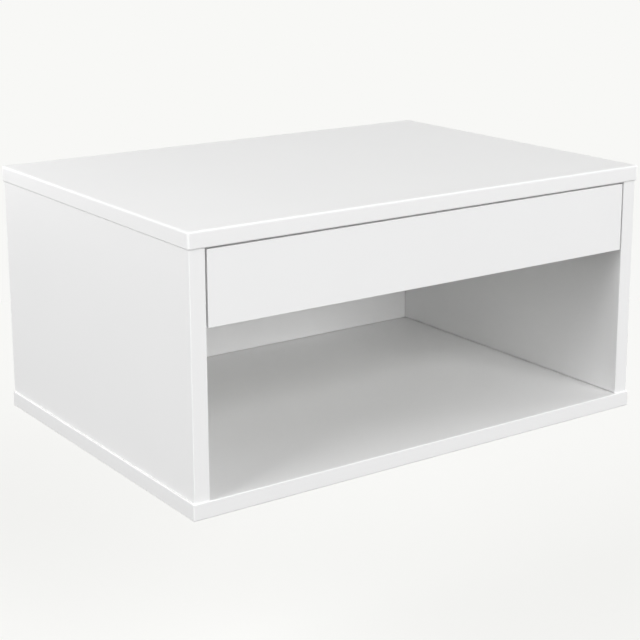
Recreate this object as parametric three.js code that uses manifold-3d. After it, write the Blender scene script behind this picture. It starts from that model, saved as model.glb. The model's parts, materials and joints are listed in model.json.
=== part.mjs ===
// A wall-hung nightstand: a board cabinet with an open shelf, one handle-less drawer on ball-bearing slides,
// and a pair of interlocking rails behind the back panel that hang it on a wall.
// Millimetres. +X is right as seen from the front, the front faces -Y, the wall is at +Y and +Z is up.
// The origin is the middle of the underside.
import * as THREE from 'three';
import { mergeVertices } from 'three/addons/utils/BufferGeometryUtils.js';
import Module from 'manifold-3d';

const wasm = await Module();
wasm.setup();

// Overall size
const WIDTH = 600;
const DEPTH = 426;
const HEIGHT = 292;

// Cabinet boards
const BOARD = 18;
const BACK_BOARD = 12;
const HANGER_HOLLOW = 8;
const OVERHANG = 2;
const EDGE_ROUND = 1.5;
const CORNER_ROUND = 2.5;
const SIDE_ROUND = 2;

// Drawer
const FRONT_BOARD = 18;
const FRONT_HEIGHT = 78;
const FRONT_GAP = 2;
const FRONT_EASE = 0.8;
const BOX_BOARD = 12;
const BOX_HEADROOM = 12;
const BOX_REAR_ROOM = 36;
const BOX_LIFT = 10;
const BOTTOM_BOARD = 6;
const BOTTOM_LIFT = 8;
const GROOVE_DEPTH = 6;

// Ball-bearing slides, measured from the cabinet side towards the drawer
const SLIDE_REAR_ROOM = 34;
const SLIDE_HEIGHT = 35;
const SLIDE_THICKNESS = 12.7;
const SLIDE_SET_BACK = 2;
const SLIDE_LIFT = 21;
const SLIDE_SHEET = 1.2;
const SLIDE_LIP = 1.1;
const BALL = 3;
const BALLS_PER_ROW = 5;
const CAGE_SHEET = 0.5;
const CAGE_LIP = 0.8;
const CAGE_START_SHARE = 0.28;
const CAGE_LENGTH_SHARE = 0.4;
const OUTER_EDGE_ROOM = 3.7;
const MIDDLE_EDGE_ROOM = 2.5;
const SLIDE_SCREW_INSET = 69;

// Clearances and overruns
const PLAY = 0.3;
const OVERRUN = 5;

// Hanger rails
const RAIL_END_ROOM = 40;
const RAIL_SLACK = 0.4;
const RAIL_PLATE = (HANGER_HOLLOW - RAIL_SLACK) / 2;
const RAIL_FLANGE = 28;
const RAIL_LEG = 16;
const RAIL_DROP = 49;
const WALL_HOLE = 5.5;

// Fixings
const FRONT_SCREW_GRIP = 14;
const HANGER_SCREW_GRIP = 9.2;
const SLIDE_SCREW = { shank: 4, length: BOX_BOARD, tip: 3, head: 7, headHeight: 1.2 };
const FRONT_SCREW = { shank: 4, length: BOX_BOARD + FRONT_SCREW_GRIP, tip: 4, head: 8, headHeight: 2.4 };
const HANGER_SCREW = { shank: 4, length: RAIL_PLATE + HANGER_SCREW_GRIP, tip: 3, head: 8, headHeight: 2.4 };
const CROSS = { span: 4, width: 0.9, depth: 0.8 };
const BASE_SCREW = { head: 10, headHeight: 3, neck: 7, neckLength: 16, shank: 5, length: 50, tip: 4,
  socket: 4.6, socketDepth: 2.5 };
const CAM = { diameter: 15, thickness: 12.5, fromEdge: 24, slot: 1.6, slotSpan: 9, slotDepth: 2 };
const CAM_BOLT = { thread: 5, threadLength: 11, shank: 6, shankLength: 18, neck: 3.6, neckLength: 3, head: 6,
  headLength: 5, hole: 8 };
const DOWEL = { diameter: 8, length: 30, inFace: 11, ease: 1 };
const BACK_DOWEL = { diameter: 6, length: 30, inFace: 11, ease: 0.8 };
const BACK_DOWEL_INSET = 50;
const JOINT_INSET = 60;

// Where the four screws of a row stand, as shares of the half width that carries them
const ROW_SHARES = [-0.84, -0.3, 0.3, 0.84];

// How finely round forms are drawn
const ROUND_SIDES = 12;
const ARC_STEPS = 3;
const BALL_SIDES = 6;
const BALL_RINGS = 4;
const HEX_SIDES = 6;

// Places that follow from the sizes above
const FRONT_Y = -DEPTH / 2;
const WALL_Y = DEPTH / 2;
const SIDE_FRONT_Y = FRONT_Y + OVERHANG;
const SIDE_OUTER_X = WIDTH / 2 - OVERHANG;
const SIDE_INNER_X = SIDE_OUTER_X - BOARD;
const SIDE_MID_X = SIDE_OUTER_X - BOARD / 2;
const SHELF_Z = BOARD;
const CEILING_Z = HEIGHT - BOARD;
const BACK_REAR_Y = WALL_Y - HANGER_HOLLOW;
const BACK_FRONT_Y = BACK_REAR_Y - BACK_BOARD;
const BACK_MID_Y = BACK_REAR_Y - BACK_BOARD / 2;
const CAM_Z = CEILING_Z - CAM.fromEdge;
const JOINT_FRONT_Y = SIDE_FRONT_Y + JOINT_INSET;
const JOINT_REAR_Y = WALL_Y - JOINT_INSET;
const JOINT_MID_Y = (JOINT_FRONT_Y + JOINT_REAR_Y) / 2;
const FRONT_TOP_Z = CEILING_Z - FRONT_GAP;
const FRONT_LOW_Z = FRONT_TOP_Z - FRONT_HEIGHT;
const FRONT_HALF_X = SIDE_INNER_X - FRONT_GAP;
const FRONT_REAR_Y = SIDE_FRONT_Y + FRONT_BOARD;
const BOX_LOW_Z = FRONT_LOW_Z + BOX_LIFT;
const BOX_TOP_Z = CEILING_Z - BOX_HEADROOM;
const BOX_MID_Z = (BOX_LOW_Z + BOX_TOP_Z) / 2;
const BOX_OUTER_X = SIDE_INNER_X - SLIDE_THICKNESS;
const BOX_INNER_X = BOX_OUTER_X - BOX_BOARD;
const BOX_REAR_Y = BACK_FRONT_Y - BOX_REAR_ROOM;
const BOX_FRONT_INNER_Y = FRONT_REAR_Y + BOX_BOARD;
const BOX_REAR_INNER_Y = BOX_REAR_Y - BOX_BOARD;
const BOTTOM_LOW_Z = BOX_LOW_Z + BOTTOM_LIFT;
const SLIDE_Z = BOX_LOW_Z + SLIDE_LIFT;
const SLIDE_FRONT_Y = FRONT_REAR_Y + SLIDE_SET_BACK;
const SLIDE_REAR_Y = BACK_FRONT_Y - SLIDE_REAR_ROOM;
const SLIDE_LENGTH = SLIDE_REAR_Y - SLIDE_FRONT_Y;
const SLIDE_SCREW_YS = [SLIDE_FRONT_Y + SLIDE_SCREW_INSET, SLIDE_REAR_Y - SLIDE_SCREW_INSET];
const RAIL_LENGTH = 2 * (SIDE_INNER_X - RAIL_END_ROOM);

// Half heights inside the slide: each member's outside, then its inside, with a row of balls between members
const OUTER_HALF = SLIDE_HEIGHT / 2;
const OUTER_HOLLOW = OUTER_HALF - SLIDE_SHEET;
const MIDDLE_HALF = OUTER_HOLLOW - BALL - 2 * PLAY;
const MIDDLE_HOLLOW = MIDDLE_HALF - SLIDE_SHEET;
const INNER_HALF = MIDDLE_HOLLOW - BALL - 2 * PLAY;
const OUTER_ROW = (OUTER_HOLLOW + MIDDLE_HALF) / 2;
const INNER_ROW = (MIDDLE_HOLLOW + INNER_HALF) / 2;

// Depths inside the slide, from the cabinet side towards the drawer
const OUTER_CAGE_DEPTH = SLIDE_SHEET + SLIDE_SCREW.headHeight + PLAY;
const MIDDLE_DEPTH = OUTER_CAGE_DEPTH + CAGE_SHEET + PLAY;
const INNER_CAGE_DEPTH = MIDDLE_DEPTH + SLIDE_SHEET + PLAY;
const INNER_TIP_DEPTH = INNER_CAGE_DEPTH + CAGE_SHEET + PLAY;
const OUTER_REACH = SLIDE_THICKNESS - OUTER_EDGE_ROOM;
const MIDDLE_REACH = SLIDE_THICKNESS - MIDDLE_EDGE_ROOM;
const OUTER_BALL_DEPTH = OUTER_REACH - SLIDE_SHEET - PLAY - BALL / 2;
const INNER_BALL_DEPTH = MIDDLE_REACH - SLIDE_SHEET - PLAY - BALL / 2;

// Finishes
const finish = (color, roughness, metalness) => () =>
  new THREE.MeshStandardMaterial({ color, roughness, metalness });
const lacquer = finish(0xf1f1ee, 0.35, 0);
const foil = finish(0xeeeeea, 0.5, 0);
const zinc = finish(0xb9bcc0, 0.35, 1);
const brightZinc = finish(0xc9cbd0, 0.25, 1);
const aluminium = finish(0xb5b7ba, 0.4, 1);
const beech = finish(0xcfa878, 0.7, 0);
const castZinc = finish(0xa8aaad, 0.45, 1);
const strip = finish(0xa9a9a6, 0.4, 1);

const X = new THREE.Vector3(1, 0, 0);
const Y = new THREE.Vector3(0, 1, 0);
const Z = new THREE.Vector3(0, 0, 1);
const down = Z.clone().negate();
const forward = Y.clone().negate();

// Turns a closed geometry into a solid that can be joined and cut, without triangles that are only a line.
function solid(geometry) {
  const bare = geometry.clone();
  bare.deleteAttribute('normal');
  bare.deleteAttribute('uv');
  const merged = mergeVertices(bare);
  const corners = [];
  for (let i = 0; i < merged.index.count; i += 3) {
    const [a, b, c] = [0, 1, 2].map((k) => merged.index.getX(i + k));
    if (a !== b && b !== c && c !== a) corners.push(a, b, c);
  }
  return new wasm.Manifold(new wasm.Mesh({
    numProp: 3,
    vertProperties: merged.attributes.position.array,
    triVerts: new Uint32Array(corners),
  }));
}

// Turns a solid back into a geometry.
function shape(body) {
  const mesh = body.getMesh();
  const geometry = new THREE.BufferGeometry();
  geometry.setAttribute('position', new THREE.BufferAttribute(mesh.vertProperties, 3));
  geometry.setIndex(new THREE.BufferAttribute(mesh.triVerts, 1));
  geometry.computeVertexNormals();
  return geometry;
}

// Takes a list of solids away from a solid.
function without(body, cutters) {
  return cutters.reduce((left, cutter) => left.subtract(cutter), body);
}

// A block between two corners.
function block([x0, x1], [y0, y1], [z0, z1]) {
  const geometry = new THREE.BoxGeometry(x1 - x0, y1 - y0, z1 - z0);
  geometry.translate((x0 + x1) / 2, (y0 + y1) / 2, (z0 + z1) / 2);
  return solid(geometry);
}

// A block that runs along one side of the cabinet: side is -1 for left and 1 for right.
function sideBlock(side, [near, far], ySpan, zSpan) {
  return block(side > 0 ? [near, far] : [-far, -near], ySpan, zSpan);
}

// A round hole from a mouth, along a direction, that starts an overrun outside the mouth.
function hole(mouth, direction, diameter, depth, overrun = OVERRUN) {
  const geometry = new THREE.CylinderGeometry(diameter / 2, diameter / 2, depth + overrun, ROUND_SIDES);
  geometry.translate(0, (depth - overrun) / 2, 0);
  geometry.applyQuaternion(new THREE.Quaternion().setFromUnitVectors(Y, direction));
  geometry.translate(mouth.x, mouth.y, mouth.z);
  return solid(geometry);
}

// A turned solid along +Z from an outline of radius and height pairs, written from low to high.
function turned(outline) {
  const geometry = new THREE.LatheGeometry(outline.map(([r, z]) => new THREE.Vector2(r, z)), ROUND_SIDES);
  geometry.rotateX(Math.PI / 2);
  return solid(geometry);
}

// A bar along Y with the outline given in X and Z.
function bar(outline, [y0, y1]) {
  const section = new THREE.Shape(outline.map(([x, z]) => new THREE.Vector2(x, z)));
  const geometry = new THREE.ExtrudeGeometry(section, { depth: y1 - y0, bevelEnabled: false });
  geometry.rotateX(Math.PI / 2);
  geometry.translate(0, y1, 0);
  return solid(geometry);
}

// A rectangle with rounded corners, drawn round its middle.
function roundedRectangle(width, depth, radius) {
  const [x, y] = [width / 2, depth / 2];
  const outline = new THREE.Shape();
  outline.absarc(x - radius, y - radius, radius, 0, Math.PI / 2);
  outline.absarc(radius - x, y - radius, radius, Math.PI / 2, Math.PI);
  outline.absarc(radius - x, radius - y, radius, Math.PI, Math.PI * 1.5);
  outline.absarc(x - radius, radius - y, radius, Math.PI * 1.5, Math.PI * 2);
  return outline;
}

// A flat board, middle at zero, with rounded edges all round and rounded corners.
function easedBoard(width, depth, thickness, edge, corner) {
  const outline = roundedRectangle(width - 2 * edge, depth - 2 * edge, corner - edge);
  const geometry = new THREE.ExtrudeGeometry(outline, {
    depth: thickness - 2 * edge, bevelThickness: edge, bevelSize: edge, bevelSegments: ARC_STEPS,
    curveSegments: ARC_STEPS,
  });
  geometry.translate(0, 0, edge - thickness / 2);
  return geometry;
}

const group = new THREE.Group();

// Adds a named piece. Its geometry is drawn in the frame of its own origin and placed there.
function add(parent, name, geometry, material, position = [0, 0, 0], direction = Z) {
  const mesh = new THREE.Mesh(geometry, material());
  mesh.name = name;
  mesh.position.set(...position);
  mesh.quaternion.setFromUnitVectors(Z, direction);
  parent.add(mesh);
  return mesh;
}

// Adds a piece whose solid is drawn in the cabinet's frame, with its own origin moved to the solid's middle.
function addInPlace(parent, name, body, material) {
  const geometry = shape(body);
  geometry.computeBoundingBox();
  const middle = geometry.boundingBox.getCenter(new THREE.Vector3());
  geometry.translate(-middle.x, -middle.y, -middle.z);
  return add(parent, name, geometry, material, middle.toArray());
}

const SIDES = { left: -1, right: 1 };
const ENDS = { front: JOINT_FRONT_Y, rear: JOINT_REAR_Y };
const OUTWARD = { left: X.clone().negate(), right: X };
const INWARD = { left: X, right: X.clone().negate() };

// Fixings

// A cross-head screw along +Z. Its seat is at zero, its head lies below zero and its shank points up.
function crossScrew({ shank, length, tip, head, headHeight }) {
  const body = turned([
    [0, -headHeight],
    [head / 2, -headHeight],
    [head / 2, 0],
    [shank / 2, 0],
    [shank / 2, length - tip],
    [0, length],
  ]);
  const { span, width, depth } = CROSS;
  const deep = [-headHeight - OVERRUN, depth - headHeight];
  return shape(without(body, [
    block([-span / 2, span / 2], [-width / 2, width / 2], deep),
    block([-width / 2, width / 2], [-span / 2, span / 2], deep),
  ]));
}

// A coarse screw for board ends, along +Z, with its flat head level with zero and a six-sided socket.
function baseScrew() {
  const { head, headHeight, neck, neckLength, shank, length, tip, socket, socketDepth } = BASE_SCREW;
  const body = turned([
    [0, 0],
    [head / 2, 0],
    [neck / 2, headHeight],
    [neck / 2, neckLength],
    [shank / 2, neckLength],
    [shank / 2, length - tip],
    [0, length],
  ]);
  const key = new THREE.CylinderGeometry(socket / 2, socket / 2, socketDepth + OVERRUN, HEX_SIDES);
  key.rotateX(Math.PI / 2);
  key.translate(0, 0, (socketDepth - OVERRUN) / 2);
  return shape(body.subtract(solid(key)));
}

// The hole that a base screw fills, from its mouth upwards, a clearance larger all round.
function baseScrewHole(x, y) {
  const { head, headHeight, neck, neckLength, shank, length } = BASE_SCREW;
  const cutter = turned([
    [0, -OVERRUN],
    [head / 2 + PLAY, -OVERRUN],
    [head / 2 + PLAY, PLAY],
    [neck / 2 + PLAY, headHeight + PLAY],
    [neck / 2 + PLAY, neckLength + PLAY],
    [shank / 2 + PLAY, neckLength + PLAY],
    [shank / 2 + PLAY, length + PLAY],
    [0, length + PLAY],
  ]);
  return cutter.translate([x, y, 0]);
}

// A wooden dowel along +Z from zero, with eased ends.
function dowel({ diameter, length, ease }) {
  return shape(turned([
    [0, 0],
    [diameter / 2 - ease, 0],
    [diameter / 2, ease],
    [diameter / 2, length - ease],
    [diameter / 2 - ease, length],
    [0, length],
  ]));
}

// The hole for one end of a dowel, from a board's surface along a direction.
function dowelHole({ diameter }, mouth, direction, depth) {
  return hole(mouth, direction, diameter + 2 * PLAY, depth + PLAY);
}

// A bolt along +Z that is screwed up into the top board. Zero is the top of the side board.
function camBolt() {
  const { thread, threadLength, shank, shankLength, neck, neckLength, head, headLength } = CAM_BOLT;
  const neckLow = -shankLength - neckLength;
  return shape(turned([
    [0, neckLow - headLength],
    [head / 2, neckLow - headLength],
    [head / 2, neckLow],
    [neck / 2, neckLow],
    [neck / 2, -shankLength],
    [shank / 2, -shankLength],
    [shank / 2, 0],
    [thread / 2, 0],
    [thread / 2, threadLength],
    [0, threadLength],
  ]));
}

// A round cam along +Z. Its face with the driver's slots is at zero, and it sinks into the side board.
// The notch for the bolt's head opens at the rim towards +X, at the depth of the side board's middle.
function camLock() {
  const { diameter, thickness, slot, slotSpan, slotDepth } = CAM;
  const notch = CAM_BOLT.head / 2 + PLAY;
  const face = [-OVERRUN, slotDepth];
  return shape(without(hole(new THREE.Vector3(), Z, diameter, thickness, 0), [
    block([-slotSpan / 2, slotSpan / 2], [-slot / 2, slot / 2], face),
    block([-slot / 2, slot / 2], [-slotSpan / 2, slotSpan / 2], face),
    block([-notch, diameter], [-notch, notch], [BOARD / 2 - notch, thickness + OVERRUN]),
  ]));
}

// Cabinet

// The top or the base: the full width and depth, with its rear edge cut square at the wall.
function wideBoard(lowZ) {
  const spare = 2 * CORNER_ROUND;
  const geometry = easedBoard(WIDTH, DEPTH + spare, BOARD, EDGE_ROUND, CORNER_ROUND);
  geometry.translate(0, spare / 2, lowZ + BOARD / 2);
  const behind = block([-WIDTH, WIDTH], [WALL_Y, WALL_Y + WIDTH], [lowZ - BOARD, lowZ + 2 * BOARD]);
  return solid(geometry).subtract(behind);
}

function topPanel() {
  const holes = Object.values(SIDES).flatMap((side) => {
    const at = (y) => new THREE.Vector3(side * SIDE_MID_X, y, CEILING_Z);
    const { thread, threadLength } = CAM_BOLT;
    const bolts = Object.values(ENDS).map((y) => hole(at(y), Z, thread + 2 * PLAY, threadLength + PLAY));
    return [...bolts, dowelHole(DOWEL, at(JOINT_MID_Y), Z, DOWEL.inFace)];
  });
  return without(wideBoard(CEILING_Z), holes);
}

function basePanel() {
    const holes = Object.values(SIDES).flatMap((side) => [
    ...Object.values(ENDS).map((y) => baseScrewHole(side * SIDE_MID_X, y)),
    dowelHole(DOWEL, new THREE.Vector3(side * SIDE_MID_X, JOINT_MID_Y, SHELF_Z), down, DOWEL.inFace),
  ]);
  return without(wideBoard(0), holes);
}

// The plan of a side board: square at the wall, rounded at its two front corners.
function sidePlan(side) {
  const middle = side * SIDE_MID_X;
  const [x0, x1] = [middle - BOARD / 2, middle + BOARD / 2];
  const frontY = SIDE_FRONT_Y + SIDE_ROUND;
  const outline = new THREE.Shape();
  outline.moveTo(x1, WALL_Y);
  outline.lineTo(x0, WALL_Y);
  outline.absarc(x0 + SIDE_ROUND, frontY, SIDE_ROUND, Math.PI, Math.PI * 1.5);
  outline.absarc(x1 - SIDE_ROUND, frontY, SIDE_ROUND, Math.PI * 1.5, Math.PI * 2);
  return outline;
}

function sidePanel(name) {
  const side = SIDES[name];
  const depth = CEILING_Z - SHELF_Z;
  const geometry = new THREE.ExtrudeGeometry(sidePlan(side), { depth, bevelEnabled: false,
    curveSegments: ARC_STEPS });
  geometry.translate(0, 0, SHELF_Z);
    const outward = OUTWARD[name];
  const inside = (y, z) => new THREE.Vector3(side * SIDE_INNER_X, y, z);
  const middle = (y, z) => new THREE.Vector3(side * SIDE_MID_X, y, z);
  const dowelRest = DOWEL.length - DOWEL.inFace;
  return without(solid(geometry), [
    ...Object.values(ENDS).flatMap((y) => [
      hole(inside(y, CAM_Z), outward, CAM.diameter + 2 * PLAY, CAM.thickness + 2 * PLAY),
      hole(middle(y, CEILING_Z), down, CAM_BOLT.hole, CAM.fromEdge),
      baseScrewHole(side * SIDE_MID_X, y),
    ]),
    dowelHole(DOWEL, middle(JOINT_MID_Y, CEILING_Z), down, dowelRest),
    dowelHole(DOWEL, middle(JOINT_MID_Y, SHELF_Z), Z, dowelRest),
    ...Object.values(BACK_DOWEL_ZS).map((z) =>
      dowelHole(BACK_DOWEL, inside(BACK_MID_Y, z), outward, BACK_DOWEL.inFace)),
    ...SLIDE_SCREW_YS.map((y) =>
      hole(inside(y, SLIDE_Z), outward, SLIDE_SCREW.shank + 2 * PLAY, SLIDE_SCREW.length + PLAY)),
  ]);
}

const BACK_DOWEL_ZS = { upper: CEILING_Z - BACK_DOWEL_INSET, lower: SHELF_Z + BACK_DOWEL_INSET };
const RAIL_STEP_Z = CEILING_Z - RAIL_DROP;
const RAIL_SCREW_Z = RAIL_STEP_Z + RAIL_FLANGE / 2;
const RAIL_SCREW_XS = ROW_SHARES.map((share) => share * RAIL_LENGTH / 2);

function backPanel() {
  const board = block([-SIDE_INNER_X, SIDE_INNER_X], [BACK_FRONT_Y, BACK_REAR_Y], [SHELF_Z, CEILING_Z]);
  const rest = BACK_DOWEL.length - BACK_DOWEL.inFace;
  const dowels = Object.entries(SIDES).flatMap(([name, side]) => Object.values(BACK_DOWEL_ZS).map((z) =>
    dowelHole(BACK_DOWEL, new THREE.Vector3(side * SIDE_INNER_X, BACK_MID_Y, z), INWARD[name], rest)));
  const screws = RAIL_SCREW_XS.map((x) =>
    hole(new THREE.Vector3(x, BACK_REAR_Y, RAIL_SCREW_Z), forward, HANGER_SCREW.shank + 2 * PLAY,
      HANGER_SCREW_GRIP + PLAY));
  return without(board, [...dowels, ...screws]);
}

// Hanger rails. Both have the same stepped section, and the wall's rail is the cabinet's turned upside down.

// The section, across from the plate's own face and up from the step: a plate above and a leg below.
function railOutline() {
  const back = HANGER_HOLLOW - RAIL_PLATE;
  return [
    [0, 0],
    [0, RAIL_FLANGE],
    [RAIL_PLATE, RAIL_FLANGE],
    [RAIL_PLATE, RAIL_PLATE],
    [HANGER_HOLLOW - PLAY, RAIL_PLATE],
    [HANGER_HOLLOW - PLAY, -RAIL_LEG],
    [back, -RAIL_LEG],
    [back, 0],
  ];
}

// A rail along X, drawn from the section, with its screw holes through the middle of the plate.
function rail(holeDiameter) {
  const section = new THREE.Shape(railOutline().map(([y, z]) => new THREE.Vector2(y, z)));
  const geometry = new THREE.ExtrudeGeometry(section, { depth: RAIL_LENGTH, bevelEnabled: false });
  geometry.translate(0, 0, -RAIL_LENGTH / 2);
  geometry.rotateY(Math.PI / 2);
  geometry.rotateX(Math.PI / 2);
  const holes = RAIL_SCREW_XS.map((x) =>
    hole(new THREE.Vector3(x, 0, RAIL_FLANGE / 2), Y, holeDiameter, RAIL_PLATE + OVERRUN));
  return shape(without(solid(geometry), holes));
}

function addHanger(parent) {
  add(parent, 'hanger_rail_cabinet', rail(HANGER_SCREW.shank + 2 * PLAY), aluminium,
    [0, BACK_REAR_Y, RAIL_STEP_Z]);
  const wallRail = add(parent, 'hanger_rail_wall', rail(WALL_HOLE), aluminium,
    [0, WALL_Y, RAIL_STEP_Z - RAIL_LEG - PLAY]);
  wallRail.rotation.set(Math.PI, 0, 0);
  RAIL_SCREW_XS.forEach((x, i) => {
    add(parent, `hanger_screw_${i + 1}`, crossScrew(HANGER_SCREW), zinc,
      [x, BACK_REAR_Y + RAIL_PLATE, RAIL_SCREW_Z], forward);
  });
}

// The fixings that hold one side board to the top, the base and the back.
function addSideFixings(parent, name) {
  const x = SIDES[name] * SIDE_MID_X;
  for (const [end, y] of Object.entries(ENDS)) {
    const cam = add(parent, `cam_lock_${name}_${end}`, camLock(), castZinc,
      [SIDES[name] * (SIDE_INNER_X + PLAY), y, CAM_Z]);
    cam.quaternion.setFromRotationMatrix(new THREE.Matrix4().makeBasis(
      Z, new THREE.Vector3().crossVectors(OUTWARD[name], Z), OUTWARD[name]));
    add(parent, `cam_bolt_${name}_${end}`, camBolt(), brightZinc, [x, y, CEILING_Z]);
    add(parent, `base_screw_${name}_${end}`, baseScrew(), brightZinc, [x, y, 0]);
  }
  add(parent, `top_dowel_${name}`, dowel(DOWEL), beech,
    [x, JOINT_MID_Y, CEILING_Z + DOWEL.inFace - DOWEL.length]);
  add(parent, `base_dowel_${name}`, dowel(DOWEL), beech, [x, JOINT_MID_Y, SHELF_Z - DOWEL.inFace]);
  for (const [level, z] of Object.entries(BACK_DOWEL_ZS)) {
    const start = SIDES[name] * (SIDE_INNER_X + BACK_DOWEL.inFace - BACK_DOWEL.length);
    add(parent, `back_dowel_${name}_${level}`, dowel(BACK_DOWEL), beech, [start, BACK_MID_Y, z],
      OUTWARD[name]);
  }
}

function addCabinet(parent) {
  addInPlace(parent, 'top_panel', topPanel(), lacquer);
  addInPlace(parent, 'base_panel', basePanel(), lacquer);
  addInPlace(parent, 'back_panel', backPanel(), lacquer);
  for (const name of Object.keys(SIDES)) {
    addInPlace(parent, `side_panel_${name}`, sidePanel(name), lacquer);
    addSideFixings(parent, name);
  }
  addHanger(parent);
}

// Slides

// A channel of the slide, in depth from the cabinet side and height from the slide's middle. It opens towards
// the drawer, and its two edges are turned inwards as lips.
function channelOutline(depth, reach, half) {
  const hollow = half - SLIDE_SHEET;
  const upper = [
    [depth + SLIDE_SHEET, hollow],
    [reach - SLIDE_SHEET, hollow],
    [reach - SLIDE_SHEET, hollow - SLIDE_LIP],
    [reach, hollow - SLIDE_LIP],
    [reach, half],
    [depth, half],
  ];
  return mirrored(upper);
}

// Closes a half outline with its copy mirrored top to bottom.
function mirrored(upper) {
  return [...upper, ...upper.map(([u, z]) => [u, -z]).reverse()];
}

// The inner member: a plain channel that opens towards the cabinet.
function innerOutline() {
  const web = SLIDE_THICKNESS - SLIDE_SHEET;
  return mirrored([
    [web, INNER_HALF - SLIDE_SHEET],
    [INNER_TIP_DEPTH, INNER_HALF - SLIDE_SHEET],
    [INNER_TIP_DEPTH, INNER_HALF],
    [SLIDE_THICKNESS, INNER_HALF],
  ]);
}

// A ball cage's strip: a web and two arms that carry the rows of balls.
function cageOutline(depth, ballDepth, row) {
  const [low, high] = [row - CAGE_SHEET / 2, row + CAGE_SHEET / 2];
  const tip = ballDepth + BALL / 2 + CAGE_LIP;
  return mirrored([
    [depth + CAGE_SHEET, low],
    [tip, low],
    [tip, high],
    [depth, high],
  ]);
}

// Places an outline given in depth and height on one side of the cabinet.
function onSide(side, outline) {
  return outline.map(([u, z]) => [side * (SIDE_INNER_X - u), SLIDE_Z + z]);
}

// A channel of the slide along Y, with a hole through its web at each screw.
function member(name, outline, webDepth) {
  const side = SIDES[name];
  const body = bar(onSide(side, outline), [SLIDE_FRONT_Y, SLIDE_REAR_Y]);
  if (webDepth === undefined) return body;
  const x = side * (SIDE_INNER_X - webDepth);
  return without(body, SLIDE_SCREW_YS.map((y) =>
    hole(new THREE.Vector3(x, y, SLIDE_Z), OUTWARD[name], SLIDE_SCREW.shank + 2 * PLAY, OVERRUN)));
}

// A cage with its two rows of balls.
function cage(name, depth, ballDepth, row) {
  const side = SIDES[name];
  const startY = SLIDE_FRONT_Y + CAGE_START_SHARE * SLIDE_LENGTH;
  const length = CAGE_LENGTH_SHARE * SLIDE_LENGTH;
  const pitch = length / BALLS_PER_ROW;
  let body = bar(onSide(side, cageOutline(depth, ballDepth, row)), [startY, startY + length]);
  for (let i = 0; i < BALLS_PER_ROW; i += 1) {
    for (const z of [-row, row]) {
      const ball = new THREE.SphereGeometry(BALL / 2, BALL_SIDES, BALL_RINGS);
      ball.translate(side * (SIDE_INNER_X - ballDepth), startY + pitch * (i + 0.5), SLIDE_Z + z);
      body = body.add(solid(ball));
    }
  }
  return body;
}

function addSlideScrews(parent, name, label, depth, direction) {
  const x = SIDES[name] * (SIDE_INNER_X - depth);
  Object.keys(ENDS).forEach((end, i) => {
    add(parent, `${label}_${name}_${end}`, crossScrew(SLIDE_SCREW), zinc, [x, SLIDE_SCREW_YS[i], SLIDE_Z],
      direction);
  });
}

function addSlide(parent, name) {
  const outer = channelOutline(0, OUTER_REACH, OUTER_HALF);
  const middle = channelOutline(MIDDLE_DEPTH, MIDDLE_REACH, MIDDLE_HALF);
  const outerCage = cage(name, OUTER_CAGE_DEPTH, OUTER_BALL_DEPTH, OUTER_ROW);
  const innerCage = cage(name, INNER_CAGE_DEPTH, INNER_BALL_DEPTH, INNER_ROW);
  addInPlace(parent, `slide_outer_${name}`, member(name, outer, SLIDE_SHEET), brightZinc);
  addInPlace(parent, `ball_cage_outer_${name}`, outerCage, strip);
  addInPlace(parent, `slide_middle_${name}`, member(name, middle), brightZinc);
  addInPlace(parent, `ball_cage_inner_${name}`, innerCage, strip);
  addInPlace(parent, `slide_inner_${name}`, member(name, innerOutline(), SLIDE_THICKNESS), brightZinc);
  addSlideScrews(parent, name, 'outer_slide_screw', SLIDE_SHEET, OUTWARD[name]);
  addSlideScrews(parent, name, 'inner_slide_screw', SLIDE_THICKNESS - SLIDE_SHEET, INWARD[name]);
}

// Drawer

const FRONT_SCREW_XS = ROW_SHARES.map((share) => share * BOX_INNER_X);

function drawerFront() {
  const geometry = easedBoard(2 * FRONT_HALF_X, FRONT_HEIGHT, FRONT_BOARD, FRONT_EASE, 2 * FRONT_EASE);
  geometry.rotateX(Math.PI / 2);
  geometry.translate(0, FRONT_REAR_Y - FRONT_BOARD / 2, FRONT_TOP_Z - FRONT_HEIGHT / 2);
  return without(solid(geometry), FRONT_SCREW_XS.map((x) =>
    hole(new THREE.Vector3(x, FRONT_REAR_Y, BOX_MID_Z), forward, FRONT_SCREW.shank + 2 * PLAY,
      FRONT_SCREW_GRIP + PLAY)));
}

// The drawer bottom's space, a clearance larger, which cuts the grooves in the four boards of the box.
function bottomSpace(play) {
  const x = BOX_INNER_X + GROOVE_DEPTH + play;
  return block([-x, x], [BOX_FRONT_INNER_Y - GROOVE_DEPTH - play, BOX_REAR_INNER_Y + GROOVE_DEPTH + play],
    [BOTTOM_LOW_Z - play, BOTTOM_LOW_Z + BOTTOM_BOARD + play]);
}

function boxSide(name) {
  const side = SIDES[name];
  const board = sideBlock(side, [BOX_INNER_X, BOX_OUTER_X], [FRONT_REAR_Y, BOX_REAR_Y],
    [BOX_LOW_Z, BOX_TOP_Z]);
  const screws = SLIDE_SCREW_YS.map((y) =>
    hole(new THREE.Vector3(side * BOX_OUTER_X, y, SLIDE_Z), INWARD[name], SLIDE_SCREW.shank + 2 * PLAY,
      SLIDE_SCREW.length - SLIDE_SHEET + PLAY));
  return without(board, [bottomSpace(PLAY), ...screws]);
}

function boxFront() {
  const board = block([-BOX_INNER_X, BOX_INNER_X], [FRONT_REAR_Y, BOX_FRONT_INNER_Y], [BOX_LOW_Z, BOX_TOP_Z]);
  const screws = FRONT_SCREW_XS.map((x) =>
    hole(new THREE.Vector3(x, FRONT_REAR_Y, BOX_MID_Z), Y, FRONT_SCREW.shank + 2 * PLAY,
      BOX_BOARD + OVERRUN));
  return without(board, [bottomSpace(PLAY), ...screws]);
}

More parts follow.
